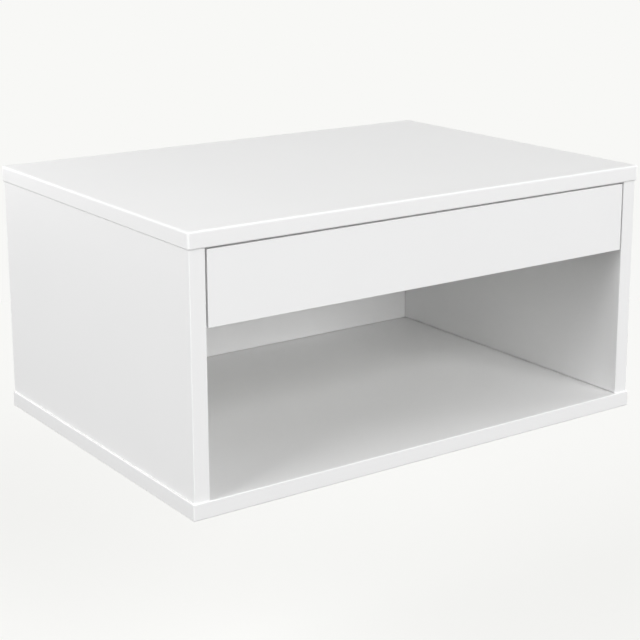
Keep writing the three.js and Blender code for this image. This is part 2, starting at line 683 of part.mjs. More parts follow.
function boxBack() {
  const board = block([-BOX_INNER_X, BOX_INNER_X], [BOX_REAR_INNER_Y, BOX_REAR_Y], [BOX_LOW_Z, BOX_TOP_Z]);
  return board.subtract(bottomSpace(PLAY));
}

function addDrawer(parent) {
  addInPlace(parent, 'drawer_front', drawerFront(), lacquer);
  addInPlace(parent, 'drawer_box_left', boxSide('left'), foil);
  addInPlace(parent, 'drawer_box_right', boxSide('right'), foil);
  addInPlace(parent, 'drawer_box_front', boxFront(), foil);
  addInPlace(parent, 'drawer_box_back', boxBack(), foil);
  addInPlace(parent, 'drawer_bottom', bottomSpace(0), foil);
  FRONT_SCREW_XS.forEach((x, i) => {
    add(parent, `front_screw_${i + 1}`, crossScrew(FRONT_SCREW), zinc, [x, BOX_FRONT_INNER_Y, BOX_MID_Z],
      forward);
  });
}

// The whole nightstand
const cabinet = new THREE.Group();
const slides = new THREE.Group();
const drawer = new THREE.Group();
addCabinet(cabinet);
Object.keys(SIDES).forEach((name) => addSlide(slides, name));
addDrawer(drawer);
group.add(cabinet, slides, drawer);

export default group;
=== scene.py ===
"""The looks of a wall-hung nightstand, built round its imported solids.

Sizes in the classes are in millimetres, and finished meshes are in metres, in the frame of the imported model: +X is
right as seen from the front, the front faces -Y, the wall is at +Y and +Z is up. A shape is drawn in its own
directions u, v and w, and a Lay turns these into the frame's.
"""

import json
import logging
from collections.abc import Callable, Sequence
from dataclasses import dataclass, field
from enum import Enum
from functools import cache

import bpy
import numpy as np
from mathutils import Matrix, Vector
from numpy.typing import NDArray

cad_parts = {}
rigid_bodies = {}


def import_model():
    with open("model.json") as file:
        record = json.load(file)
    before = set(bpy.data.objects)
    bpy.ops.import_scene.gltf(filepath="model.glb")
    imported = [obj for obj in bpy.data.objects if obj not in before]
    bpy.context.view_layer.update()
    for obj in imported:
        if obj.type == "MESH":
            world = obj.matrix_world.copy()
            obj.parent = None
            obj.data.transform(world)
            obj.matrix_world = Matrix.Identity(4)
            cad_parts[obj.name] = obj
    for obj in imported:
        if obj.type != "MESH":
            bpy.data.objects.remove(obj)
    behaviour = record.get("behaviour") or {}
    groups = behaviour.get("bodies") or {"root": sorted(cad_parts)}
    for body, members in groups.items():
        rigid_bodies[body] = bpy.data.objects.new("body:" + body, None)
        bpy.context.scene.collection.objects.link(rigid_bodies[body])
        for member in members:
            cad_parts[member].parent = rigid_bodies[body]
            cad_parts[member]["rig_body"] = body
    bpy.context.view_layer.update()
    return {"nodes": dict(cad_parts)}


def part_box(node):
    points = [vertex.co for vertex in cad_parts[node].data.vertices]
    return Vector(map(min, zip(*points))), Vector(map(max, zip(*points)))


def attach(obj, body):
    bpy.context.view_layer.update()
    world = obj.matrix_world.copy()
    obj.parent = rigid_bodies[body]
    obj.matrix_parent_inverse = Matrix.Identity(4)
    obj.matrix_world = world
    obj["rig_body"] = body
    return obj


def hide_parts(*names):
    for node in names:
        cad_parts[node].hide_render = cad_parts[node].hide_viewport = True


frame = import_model()

LOG = logging.getLogger("nightstand")
Array = NDArray[np.float64]
Place = Callable[[Array, float], Array]
Triple = tuple[float, float, float]
Profile = tuple[tuple[float, float], ...]
Edge = tuple[float | Array, float]
Tree = bpy.types.NodeTree
Socket = bpy.types.NodeSocket

MM = 0.001
PER_METRE = 1000.0

# How finely shapes are drawn: steps in a quarter turn or a bend, and sides of a turned piece.
CORNER_STEPS = 8
EDGE_STEPS = 6
BEND_STEPS = 5
HOLE_STEPS = 8
TURNED_SIDES = 48

# The lattice on which corners are joined, the least length that counts, and the decimals that places are rounded
# to, in millimetres; and the angle from which an edge is shaded sharp.
WELD = 1e-4
WELD_OFFSET = 0.137
TINY = 1e-7
DECIMALS = 4
SHARP_ANGLE = np.radians(38)

# An edge as wide and as high as its outline's ease.
PLAIN: Edge = (1.0, 1.0)

# The sockets of a Mix node that mixes colours.
MIX_SHARE, MIX_FIRST, MIX_SECOND, MIX_RESULT = 0, 6, 7, 2

# The words and numbers in the names of solids that come in pairs or fours.
SIDES = ("left", "right")
ENDS = ("front", "rear")
FOUR = range(1, 5)


# Shapes


class Lay(Enum):
    """How a shape's own directions lie in the frame: the frame's direction of its u, of its v and of its w."""

    FLAT = ((1, 0, 0), (0, 1, 0), (0, 0, 1))
    UPRIGHT = ((1, 0, 0), (0, 0, 1), (0, -1, 0))
    SIDEWAYS = ((0, 1, 0), (0, 0, 1), (1, 0, 0))

    def to_frame(self, points: Array) -> Array:
        """Gives points of u, v and w in the frame's x, y and z."""
        return points @ np.array(self.value, float)

    def box(self, node: str) -> tuple[Array, Array]:
        """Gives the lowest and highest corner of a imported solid.

        Args:
            node: The solid's name.

        Returns:
            The two corners in u, v and w, in millimetres.
        """
        corners = np.array([list(corner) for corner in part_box(node)]) * PER_METRE
        own = corners @ np.array(self.value, float).T
        return own.min(axis=0), own.max(axis=0)

    def middle(self, node: str) -> Array:
        """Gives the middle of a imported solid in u, v and w, rounded, so that what is level stays level."""
        return np.mean(self.box(node), axis=0).round(DECIMALS)


@dataclass
class Shell:
    """The faces of a closed skin, each given by the places of its corners, in millimetres."""

    quads: list[Array] = field(default_factory=list)
    polygons: list[Array] = field(default_factory=list)

    def add_grid(self, points: Array, flip: bool = False, keep: Array | None = None) -> None:
        """Adds the quads between neighbouring rows and columns of a grid.

        Args:
            points: The grid, as rows by columns by three.
            flip: Whether the faces are turned round.
            keep: Which columns of quads are added; all of them if it isn't given.
        """
        corners = [points[:-1, :-1], points[:-1, 1:], points[1:, 1:], points[1:, :-1]]
        quads = np.stack(corners[::-1] if flip else corners, axis=2)
        if keep is not None:
            quads = quads[:, keep]
        self.quads.append(quads.reshape(-1, 4, 3))

    def add_polygon(self, points: Array, flip: bool = False) -> None:
        """Adds one flat face of any number of corners."""
        self.polygons.append(points[::-1] if flip else points)

    def joined(self) -> tuple[Array, list[list[int]]]:
        """Joins corners that fall on one place, and drops what is only a line after that.

        Two corners are one where they fall in the same cell of a lattice a ten-thousandth of a millimetre fine,
        which is shifted a little, so that round sizes stay off its edges.

        Returns:
            The places, and each face as the numbers of its corners.
        """
        quads = np.concatenate([*self.quads, np.empty((0, 4, 3))])
        corners = np.concatenate([quads.reshape(-1, 3), *self.polygons])
        cells = np.floor(corners / WELD + WELD_OFFSET)
        _, first, number = np.unique(cells, axis=0, return_index=True, return_inverse=True)
        number = number.reshape(-1)
        fours = number[: 4 * len(quads)].reshape(-1, 4)
        doubled = fours == np.roll(fours, -1, axis=1)
        once = doubled.sum(axis=1) == 1
        threes = fours[once][~doubled[once]].reshape(-1, 3)
        faces = fours[~doubled.any(axis=1)].tolist() + threes.tolist()
        ends = 4 * len(quads) + np.cumsum([0, *(len(polygon) for polygon in self.polygons)])
        for start, end in zip(ends[:-1], ends[1:]):
            ring = number[start:end]
            faces.append(ring[ring != np.roll(ring, -1)].tolist())
        return corners[first], faces

    def moved(self, turn: Array, shift: Array) -> "Shell":
        """Gives the shell turned by a matrix of rows u, v and w, and then shifted."""
        return Shell([part @ turn + shift for part in self.quads], [part @ turn + shift for part in self.polygons])

    def mesh(self, name: str, lay: Lay) -> bpy.types.Mesh:
        """Makes the mesh, in metres.

        Args:
            name: The mesh's name.
            lay: How the shell's directions lie in the frame.

        Returns:
            The mesh.
        """
        places, faces = self.joined()
        mesh = bpy.data.meshes.new(name)
        mesh.from_pydata((lay.to_frame(places) * MM).tolist(), [], faces)
        mesh.validate()
        return mesh


@dataclass(frozen=True)
class Outline:
    """A closed outline in u and v, the way out at each point, and how far the edge is eased there."""

    points: Array
    normals: Array
    ease: Array

    def inset(self, share: Array, height: Array) -> Array:
        """Draws the outline inwards: each point, less the way out there times its ease times the share.

        Args:
            share: The share at each row, or at each row and point.
            height: The height there.

        Returns:
            The points, as rows by columns by three.
        """
        flat = self.points[None] - self.normals[None] * (self.ease[None] * share)[..., None]
        tall = np.broadcast_to(height, flat.shape[:2])
        return np.concatenate([flat, tall[..., None]], axis=2)


def rounded_rectangle(
    low: Array,
    high: Array,
    corners: float | Sequence[float],
    eases: float | Sequence[float],
    stations: Sequence[Triple] = (),
) -> Outline:
    """A rectangle with rounded corners, run round against the clock.

    Corner k is an arc: its centre, a radius inside both sides, plus the radius times (cos t, sin t), for t from
    180 + 90k to 270 + 90k degrees. The ease is the same along one corner and runs evenly between corners.

    Args:
        low: The lowest u and v.
        high: The highest u and v.
        corners: The radii of the corners at low u low v, high u low v, high u high v and low u high v, or of all.
        eases: How far the edge is eased at these corners.
        stations: Points wanted on the sides of constant u, from low v on: v, ease at low u and ease at high u.

    Returns:
        The outline.
    """
    corners, eases = np.broadcast_to(corners, 4), np.broadcast_to(eases, 4)
    quarter = np.linspace(0, np.pi / 2, CORNER_STEPS + 1)
    points, normals, ease = [], [], []
    for k, (pick_u, pick_v) in enumerate([(0, 0), (1, 0), (1, 1), (0, 1)]):
        angle = np.pi + k * np.pi / 2 + quarter
        way = np.stack([np.cos(angle), np.sin(angle)], axis=1)
        corner = np.array([(low, high)[pick_u][0], (low, high)[pick_v][1]])
        centre = corner + corners[k] * (1 - 2 * np.array([pick_u, pick_v]))
        points.append(centre + corners[k] * way)
        normals.append(way)
        ease.append(np.full(len(way), eases[k]))
        if k in (1, 3) and stations:
            side = 1 if k == 1 else -1
            stops = np.array(stations, float)[::side]
            points.append(np.stack([np.full(len(stops), corner[0]), stops[:, 0]], axis=1))
            normals.append(np.tile([float(side), 0.0], (len(stops), 1)))
            ease.append(stops[:, 1 + pick_u])
    return Outline(np.concatenate(points), np.concatenate(normals), np.concatenate(ease))


@dataclass(frozen=True)
class Recess:
    """A round or long hole: its middle, radii and depths from its mouth in, and half its straight part along u."""

    u: float
    v: float
    section: Profile
    straight: float = 0.0
    closed: bool = True

    def ring(self, radius: float) -> Array:
        """The hole's outline at one radius, against the clock from its left point.

        Four quarter circles about the middle, the left two moved left and the right two moved right by half of the
        straight part.

        Args:
            radius: The radius of the round parts.

        Returns:
            The points in u and v. The first half runs underneath, the second half runs back over the top.
        """
        quarter = np.linspace(0, np.pi / 2, HOLE_STEPS + 1)
        angle = (np.arange(-2, 2)[:, None] * np.pi / 2 + quarter).ravel()
        shift = np.repeat([-1.0, 1.0, 1.0, -1.0], HOLE_STEPS + 1) * self.straight
        return np.stack([self.u + shift + radius * np.cos(angle), self.v + radius * np.sin(angle)], axis=1)

    def halves(self) -> tuple[Array, Array]:
        """The mouth's lower half and upper half, both run with the clock."""
        mouth = self.ring(self.section[0][0])
        return mouth[: len(mouth) // 2][::-1], mouth[len(mouth) // 2 :][::-1]

    def line(self, shell: Shell, place: Place, flip: bool) -> None:
        """Adds the hole's wall, from its mouth inwards, and its floor if it is closed.

        Args:
            shell: The shell that gets the faces.
            place: Turns points of the face's directions, and a depth below it, into u, v and w.
            flip: Whether these directions run with the clock as seen from outside.
        """
        rings = np.stack([place(self.ring(radius), depth) for radius, depth in self.section])
        shell.add_grid(rings, flip)
        if self.closed:
            shell.add_polygon(rings[-1], flip)


def add_pierced_face(
    shell: Shell, ring: Array, recesses: Sequence[Recess], place: Place, flip: bool, lined: bool = True
) -> None:
    """Adds a flat face with holes in it, parted along the lines through their middles.

    Between two such lines the face is one polygon: along the lower line from left to right and over the holes on
    it, up the outline's right side, back along the upper line and under its holes, and down the left side.

    Args:
        shell: The shell that gets the faces.
        ring: The face's outline in two directions, with a point on both sides at the height of each line.
        recesses: The holes.
        place: Turns points of the two directions, and a depth below the face, into u, v and w.
        flip: Whether the two directions run with the clock as seen from outside.
        lined: Whether the holes' walls are added too.
    """
    middle = (ring.min(axis=0) + ring.max(axis=0)) / 2
    turn = np.mod(np.arctan2(*(ring - middle).T[::-1]) + np.pi / 2, 2 * np.pi)
    order = np.argsort(turn)
    right, left = ring[order][turn[order] < np.pi], ring[order][turn[order] >= np.pi]
    rows = sorted({recess.v for recess in recesses})
    across = sorted(recesses, key=lambda recess: recess.u)
    for low, high in zip([-np.inf, *rows], [*rows, np.inf]):
        over = [recess.halves()[1] for recess in across if recess.v == low]
        under = [recess.halves()[0] for recess in across[::-1] if recess.v == high]
        up = right[(right[:, 1] >= low - TINY) & (right[:, 1] <= high + TINY)]
        back = left[(left[:, 1] >= low - TINY) & (left[:, 1] <= high + TINY)]
        shell.add_polygon(place(np.concatenate([*over, up, *under, back]), 0.0), flip)
    if lined:
        for recess in recesses:
            recess.line(shell, place, flip)


def slab(
    outline: Outline,
    low: float,
    high: float,
    beneath: Sequence[Recess] = (),
    rows: Sequence[float] = (),
    wall: tuple[float, Sequence[Recess]] | None = None,
    low_edge: Edge = PLAIN,
    high_edge: Edge = PLAIN,
) -> Shell:
    """A board: its outline carried up through w, and drawn in at both faces along a quarter ellipse.

    At turn t from 0 to 90 degrees the outline is inset by ease x width x (1 - sin t) and stands
    ease x height x (1 - cos t) off the face.

    Args:
        outline: The board's outline.
        low: The lower face's w.
        high: The upper face's w.
        beneath: Holes in the lower face.
        rows: Heights of extra rows on the walls.
        wall: The u of a wall that is pierced, and its holes, whose own two directions are v and w.
        low_edge: The lower edge's width, all round or at each point, and its height, as shares of the ease.
        high_edge: The same for the upper edge.

    Returns:
        The closed shell.
    """
    turn = np.linspace(0, np.pi / 2, EDGE_STEPS + 1)[:, None]
    share, rise = 1 - np.sin(turn), outline.ease[None] * (1 - np.cos(turn))
    lower = outline.inset(low_edge[0] * share, low + low_edge[1] * rise)
    upper = outline.inset(high_edge[0] * share[::-1], high - high_edge[1] * rise[::-1])
    between = [outline.inset(np.zeros((1, 1)), np.full((1, 1), row)) for row in rows]
    grid = np.concatenate([lower, *between, upper])
    grid = np.concatenate([grid, grid[:, :1]], axis=1)
    shell = Shell()
    count = len(lower)
    shell.add_grid(grid[:count])
    shell.add_grid(grid[-count:])
    middle = grid[count - 1 : len(grid) - count + 1]
    if wall is None:
        shell.add_grid(middle)
    else:
        at, recesses = wall
        on_wall = np.isclose(middle[0, :, 0], at)
        stretch = np.abs(np.diff(middle[0, :, 1]))
        pierced = on_wall[:-1] & on_wall[1:] & (stretch > stretch.max() / 2)
        shell.add_grid(middle, keep=~pierced)
        side = int(np.flatnonzero(pierced)[0])
        ring = np.concatenate([middle[:, side, 1:], middle[::-1, side + 1, 1:]])
        outward = 1.0 if at > outline.points[:, 0].mean() else -1.0
        add_pierced_face(
            shell,
            ring,
            recesses,
            lambda points, depth: np.insert(points, 0, at - outward * depth, axis=1),
            flip=outward < 0,
        )
    shell.add_polygon(upper[-1])
    if beneath:
        add_pierced_face(
            shell,
            lower[0, :, :2],
            beneath,
            lambda points, depth: np.insert(points, 2, low + depth, axis=1),
            flip=True,
        )
    else:
        shell.add_polygon(lower[0], flip=True)
    return shell


def filleted(corners: Sequence[Triple]) -> Array:
    """A closed section with each corner rounded.

    With unit vectors a and b from a corner towards its neighbours, and h half the angle between them, the arc's
    centre lies radius / sin h along the line that halves the angle, and the arc starts and ends radius / tan h
    along a and b. Between, the spoke turns evenly from the first to the last.

    Args:
        corners: The corners against the clock, as u, v and radius.

    Returns:
        The section's points in u and v, without doubles.
    """
    data = np.array(corners, float)
    spot, radius = data[:, :2], data[:, 2:]
    to_last = np.roll(spot, 1, axis=0) - spot
    to_next = np.roll(spot, -1, axis=0) - spot
    a = to_last / np.linalg.norm(to_last, axis=1, keepdims=True)
    b = to_next / np.linalg.norm(to_next, axis=1, keepdims=True)
    half = np.arccos(np.clip((a * b).sum(axis=1, keepdims=True), -1, 1)) / 2
    swing = np.maximum(np.pi - 2 * half, TINY)
    reach = radius * np.cos(half) / np.sin(half)
    bisector = (a + b) / np.maximum(np.linalg.norm(a + b, axis=1, keepdims=True), TINY)
    centre = spot + bisector * radius / np.sin(half)
    start, end = spot + a * reach - centre, spot + b * reach - centre
    share = np.linspace(0, 1, BEND_STEPS + 1)[None, :, None]
    angle = swing[:, None]
    spokes = (np.sin((1 - share) * angle) * start[:, None] + np.sin(share * angle) * end[:, None]) / np.sin(angle)
    points = (centre[:, None] + spokes).reshape(-1, 2)
    return points[np.linalg.norm(points - np.roll(points, 1, axis=0), axis=1) > 10 * TINY]


@dataclass(frozen=True)
class Row:
    """A row of holes through the flat of a bar: its height in the section, and each place, straight and radius."""

    height: float
    holes: tuple[Triple, ...]


def bar(section: Array, low: float, high: float, row: Row | None = None) -> Shell:
    """A section carried straight along w, with flat ends.

    Args:
        section: The section's points in u and v, against the clock.
        low: Where the bar starts.
        high: Where it ends.
        row: Holes through its flat, which has a point of the section at the row's height on both its faces.

    Returns:
        The closed shell.
    """
    shell = Shell()
    ring = np.concatenate([section, section[:1]])
    ends = np.array([low, high])
    grid = np.concatenate([np.tile(ring, (2, 1, 1)), np.repeat(ends, len(ring)).reshape(2, -1, 1)], axis=2)
    shell.add_polygon(grid[0, :-1], flip=True)
    shell.add_polygon(grid[1, :-1])
    if row is None:
        shell.add_grid(grid)
        return shell
    on_row = np.isclose(ring[:, 1], row.height)
    shell.add_grid(grid, keep=~(on_row[:-1] | on_row[1:]))
    found = np.flatnonzero(on_row[:-1])
    sheet = abs(float(np.diff(section[found, 0])[0]))
    recesses = [
        Recess(place, row.height, ((radius, 0.0), (radius, sheet)), straight, closed=False)
        for place, straight, radius in row.holes
    ]
    for k in found:
        before, after = section[k - 1, 1], section[(k + 1) % len(section), 1]
        upward = 1.0 if after > before else -1.0
        bottom, top = min(before, after), max(before, after)
        corners = [(low, bottom), (high, bottom), (high, row.height), (high, top), (low, top), (low, row.height)]
        at = section[k, 0]
        add_pierced_face(
            shell,
            np.array(corners),
            recesses,
            lambda points, depth, at=at, upward=upward: np.stack(
                [np.full(len(points), at - upward * depth), points[:, 1], points[:, 0]], axis=1
            ),
            flip=upward > 0,
            lined=k == found[0],
        )
    return shell


class DriveKind(Enum):
    """The form of the hollow that a driver fits."""

    CROSS = "cross"
    HEX = "hex"


@dataclass(frozen=True)
class Drive:
    """The hollow that a driver fits: its width and depth, how long a cross's bars are, and its edge's softness."""

    kind: DriveKind
    width: float
    depth: float
    span: float = 0.0
    soft: float = 0.22

    def fall(self, room: Array) -> Array:
        """Rises smoothly from 0 to 1 as the room inside the edge goes from minus to plus half the softness."""
        share = np.clip(room / self.soft + 0.5, 0, 1)
        return share * share * (3 - 2 * share)

    def depth_at(self, u: Array, v: Array) -> Array:
        """How deep the face is sunk at a point.

        The cross is the deeper of two bars at right angles. The hexagon is where the point lies inside three pairs
        of parallel sides, 60 degrees apart.

        Args:
            u: The points' u from the middle.
            v: The points' v from the middle.

        Returns:
            The depth below the face.
        """
        if self.kind is DriveKind.CROSS:
            arms = [
                self.fall(self.width / 2 - np.abs(across)) * self.fall(self.span / 2 - np.abs(along))
                for across, along in ((u, v), (v, u))
            ]
            return self.depth * np.maximum(*arms)
        ways = np.arange(3) * np.pi / 3
        reach = np.abs(u[..., None] * np.cos(ways) + v[..., None] * np.sin(ways)).max(axis=-1)
        return self.depth * self.fall(self.width / 2 - reach)


# Finishes


def linear(hexcode: str) -> tuple[float, float, float, float]:
    """Turns an sRGB hex colour into the linear colour that a shader reads, by the sRGB standard's curve.

    Args:
        hexcode: The colour, as in "#f0f0ee".

    Returns:
        Red, green, blue and an alpha of one.
    """
    channels = np.array([int(hexcode[i : i + 2], 16) for i in (1, 3, 5)]) / 255
    bright = ((channels + 0.055) / 1.055) ** 2.4
    red, green, blue = np.where(channels <= 0.04045, channels / 12.92, bright).tolist()
    return red, green, blue, 1.0


def add_node(
    tree: Tree, kind: str, inputs: dict[str | int, object] | None = None, **settings: object
) -> bpy.types.Node:
    """Adds a node with its settings, and fills or links its inputs.

    Args:
        tree: The node tree.
        kind: The node's type.
        inputs: For each input, by name or number, a value or the output that is linked to it.
        settings: The node's own settings.

    Returns:
        The node.
    """
    node = tree.nodes.new(kind)
    for name, value in settings.items():
        setattr(node, name, value)
    for name, value in (inputs or {}).items():
        if isinstance(value, Socket):
            tree.links.new(value, node.inputs[name])
        else:
            node.inputs[name].default_value = value
    return node


def emptied_tree(owner: bpy.types.Material | bpy.types.World) -> Tree:
    """Turns on the nodes of a material or a world, and removes those that it starts with.

    Args:
        owner: The material or the world.

    Returns:
        Its node tree.
    """
    owner.use_nodes = True
    owner.node_tree.nodes.clear()
    return owner.node_tree


class Texture(Enum):
    """The textures: a node's type, the output that is read, and its pattern's metres at a scale of one."""

    NOISE = ("ShaderNodeTexNoise", 0, 1.0)
    CELLS = ("ShaderNodeTexVoronoi", "Distance", 1.0)
    WAVES = ("ShaderNodeTexWave", "Fac", np.pi / 10)


@dataclass(frozen=True)
class Pattern:
    """A texture of a real size in millimetres, its other inputs and settings, and a scale along x, y and z."""

    texture: Texture
    size: float
    inputs: dict[str, float] = field(default_factory=dict)
    settings: dict[str, str] = field(default_factory=dict)
    along: Triple | None = None

    def add(self, tree: Tree, place: Socket) -> Socket:
        """Adds the pattern.

        Args:
            tree: The material's node tree.
            place: The place on the piece, in metres.

        Returns:
            The output that holds it, from 0 to 1.
        """
        kind, output, length = self.texture.value
        if self.along:
            place = add_node(tree, "ShaderNodeMapping", {"Vector": place, "Scale": self.along}).outputs[0]
        inputs = {"Vector": place, "Scale": PER_METRE * length / self.size, **self.inputs}
        return add_node(tree, kind, inputs, **self.settings).outputs[output]


@dataclass(frozen=True)
class Finish:
    """A finish: its name, two tones, two roughnesses, its relief's height in millimetres, and its patterns.

    Tone and roughness wander together between their two values. The relief follows the same pattern if it has none
    of its own.
    """

    name: str
    tones: tuple[str, str]
    rough: tuple[float, float]
    height: float
    wander: Pattern
    relief: Pattern | None = None
    metallic: float = 0.0
    ior: float = 1.5
    specular: float = 0.25

    def build(self) -> bpy.types.Material:
        """Makes the material, whose colour, gloss and relief all follow patterns.

        Returns:
            The material.
        """
        material = bpy.data.materials.new(self.name)
        tree = emptied_tree(material)
        place = add_node(tree, "ShaderNodeTexCoord").outputs["Object"]
        wander = self.wander.add(tree, place)
        relief = self.relief.add(tree, place) if self.relief else wander
        tones = {MIX_SHARE: wander, MIX_FIRST: linear(self.tones[0]), MIX_SECOND: linear(self.tones[1])}
        colour = add_node(tree, "ShaderNodeMix", tones, data_type="RGBA")
        ends = {"To Min": self.rough[0], "To Max": self.rough[1]}
        gloss = add_node(tree, "ShaderNodeMapRange", {"Value": wander, **ends})
        bump = add_node(tree, "ShaderNodeBump", {"Height": relief, "Strength": 1.0, "Distance": self.height * MM})
        inputs = {
            "Base Color": colour.outputs[MIX_RESULT],
            "Roughness": gloss.outputs[0],
            "Normal": bump.outputs[0],
            "Metallic": self.metallic,
        }
        if self.metallic == 0:
            inputs |= {"IOR": self.ior, "Specular IOR Level": self.specular}
        surface = add_node(tree, "ShaderNodeBsdfPrincipled", inputs)
        add_node(tree, "ShaderNodeOutputMaterial", {"Surface": surface.outputs[0]})
        return material


@dataclass(frozen=True)
class Metal(Finish):
    """A bare or plated metal, whose relief follows the same pattern as its tones."""

    metallic: float = 1.0


# The lines and grains of metal. All are drawn coarser than real ones, so that they show.
LINES_ALONG_Y = Pattern(Texture.NOISE, 0.9, {"Detail": 3.0}, along=(1.0, 0.04, 1.0))
LINES_ALONG_X = Pattern(Texture.NOISE, 0.9, {"Detail": 3.0}, along=(0.03, 1.0, 1.0))
FINE_GRAIN = Pattern(Texture.NOISE, 0.7, {"Detail": 3.0})
CAST_GRAIN = Pattern(Texture.NOISE, 1.2, {"Detail": 3.0})


class Finishes(Enum):
    """The finishes of this nightstand."""

    # Satin polyurethane lacquer sprayed on fibreboard: an even white with a soft sheen, wide clouds from the spray
    # gun's passes and a faint orange peel, which is drawn a little coarser and higher than it is.
    LACQUER = Finish(
        "satin_white_lacquer",
        tones=("#fafafa", "#f7f7f7"),
        rough=(0.34, 0.42),
        height=0.012,
        wander=Pattern(Texture.NOISE, 160.0),
        relief=Pattern(Texture.NOISE, 2.6, {"Detail": 1.0}),
    )
    # Melamine foil pressed on board: flatter and a little warmer, with the dimples of its press plate.
    FOIL = Finish(
        "white_melamine_foil",
        tones=("#eeeeea", "#e8e8e3"),
        rough=(0.44, 0.54),
        height=0.03,
        wander=Pattern(Texture.NOISE, 90.0),
        relief=Pattern(Texture.CELLS, 1.1),
    )
    # Zinc-plated steel, rolled: a cool bright grey with straight lines along the slide.
    SLIDE = Metal("rolled_zinc_plated_steel", ("#c9ccd0", "#a9adb3"), (0.24, 0.40), 0.01, LINES_ALONG_Y)
    # Plain steel strip, pressed into a ball cage: darker and duller, with the same lines.
    CAGE = Metal("pressed_steel_strip", ("#a2a29e", "#85857f"), (0.34, 0.50), 0.01, LINES_ALONG_Y)
    # Aluminium pressed through a die and left bare: a soft light grey with the die's lines along the rail.
    RAIL = Metal("extruded_aluminium", ("#c4c5c7", "#a9abae"), (0.34, 0.50), 0.01, LINES_ALONG_X)
    # Screw steel in bright zinc: the shiniest metal here, with an even grain.
    SCREW = Metal("bright_zinc_plated_screw_steel", ("#cfd2d6", "#aeb2b8"), (0.20, 0.36), 0.02, FINE_GRAIN)
    # Zinc cast under pressure: a dull grey, darker in the pits of its grain.
    CAM = Metal("die_cast_zinc", ("#a9abae", "#8d9094"), (0.38, 0.55), 0.02, CAST_GRAIN)
    # Beech dowel rod: pale brown with bent growth rings a few millimetres apart, and short flecks in its relief.
    DOWEL = Finish(
        "turned_beech",
        tones=("#d2ac7c", "#b98f5f"),
        rough=(0.60, 0.75),
        height=0.04,
        wander=Pattern(Texture.WAVES, 4.343, {"Distortion": 1.5}, {"bands_direction": "Y"}),
        relief=Pattern(Texture.NOISE, 1.5, {"Detail": 4.0}),
    )

    @cache
    def material(self) -> bpy.types.Material:
        """The finish's material, made once."""
        return self.value.build()


class Slot(Enum):
    """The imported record's material slots."""

    LACQUER = "lacquered_board"
    FOIL = "foiled_board"
    SLIDE = "slide_steel"
    CAGE = "cage_steel"
    SCREW = "screw_steel"
    CAM = "cam_zinc"
    RAIL = "rail_aluminium"
    DOWEL = "dowel_beech"

    def finish(self) -> Finishes:
        """The finish that goes with the slot."""
        return Finishes[self.name]


def add_object(name: str, data: bpy.types.ID) -> bpy.types.Object:
    """Adds an object to the scene.

    Args:
        name: The object's name.
        data: Its mesh, lamp or camera.

    Returns:
        The object.
    """
    thing = bpy.data.objects.new(name, data)
    bpy.context.scene.collection.objects.link(thing)
    return thing


def make_piece(name: str, shell: Shell, lay: Lay, slot: Slot, node: str) -> None:
    """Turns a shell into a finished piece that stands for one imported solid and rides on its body.

    Args:
        name: The piece's name.
        shell: Its faces, in the lay's directions and in millimetres.
        lay: How its directions lie in the frame.
        slot: The material slot, which also gives the finish.
        node: The solid that it stands for.
    """
    mesh = shell.mesh(name, lay)
    mesh.shade_smooth()
    mesh.set_sharp_from_angle(angle=SHARP_ANGLE)
    mesh.materials.append(slot.finish().material())
    piece = add_object(name, mesh)
    even = piece.modifiers.new("flat_faces_stay_flat", "WEIGHTED_NORMAL")
    even.keep_sharp = True
    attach(piece, frame["nodes"][node]["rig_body"])
    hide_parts(node)
    LOG.info("%s: %d corners and %d faces, for %s", name, len(mesh.vertices), len(mesh.polygons), node)


# Sub-assemblies


def plain_board(
    name: str, node: str, lay: Lay, slot: Slot, corner: float, ease: float, front: Edge = PLAIN, rear: Edge = PLAIN
) -> None:
    """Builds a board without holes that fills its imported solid's box.

    Args:
        name: The piece's name.
        node: The solid that it stands for.
        lay: How the board lies, with w through its thickness.
        slot: Its material slot.
        corner: The radius of its four corners.
        ease: How far its edges are eased.
        front: The upper edge's width and height, as shares of the ease.
        rear: The same for the lower edge.
    """
    low, high = lay.box(node)
    outline = rounded_rectangle(low, high, corner, ease)
    make_piece(name, slab(outline, low[2], high[2], low_edge=rear, high_edge=front), lay, slot, node)


